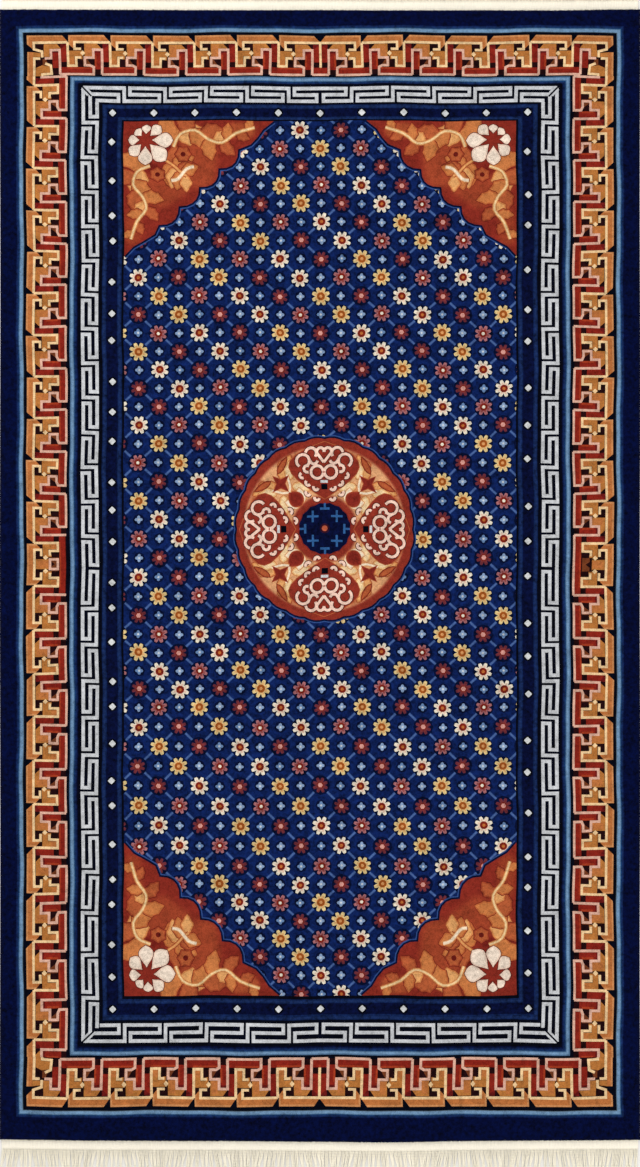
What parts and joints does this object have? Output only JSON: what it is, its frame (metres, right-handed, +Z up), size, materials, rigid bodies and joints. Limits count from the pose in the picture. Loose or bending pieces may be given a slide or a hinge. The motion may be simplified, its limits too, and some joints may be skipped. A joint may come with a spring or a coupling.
{
  "type": "fringed pile rug",
  "caption": "Rectangular hand-knotted pile rug lying flat, with a round medallion, fret borders, and a woven apron and fringe at each end.",
  "frame": {"origin": "middle of the rug's underside, on the floor", "axes": "+X across the rug, +Y along it towards the head, +Z up out of the pile"},
  "size_m": [1.224, 2.29, 0.011],
  "materials": {
    "wool_pile": "clipped wool pile in navy, brick red, orange, cream and pale blue",
    "cotton_fringe": "undyed cotton warp, plied and slightly fuzzy"
  },
  "bodies": {
    "root": {"rug_pile": "wool_pile", "fringe_head": "cotton_fringe", "fringe_foot": "cotton_fringe"}
  },
  "joints": []
}
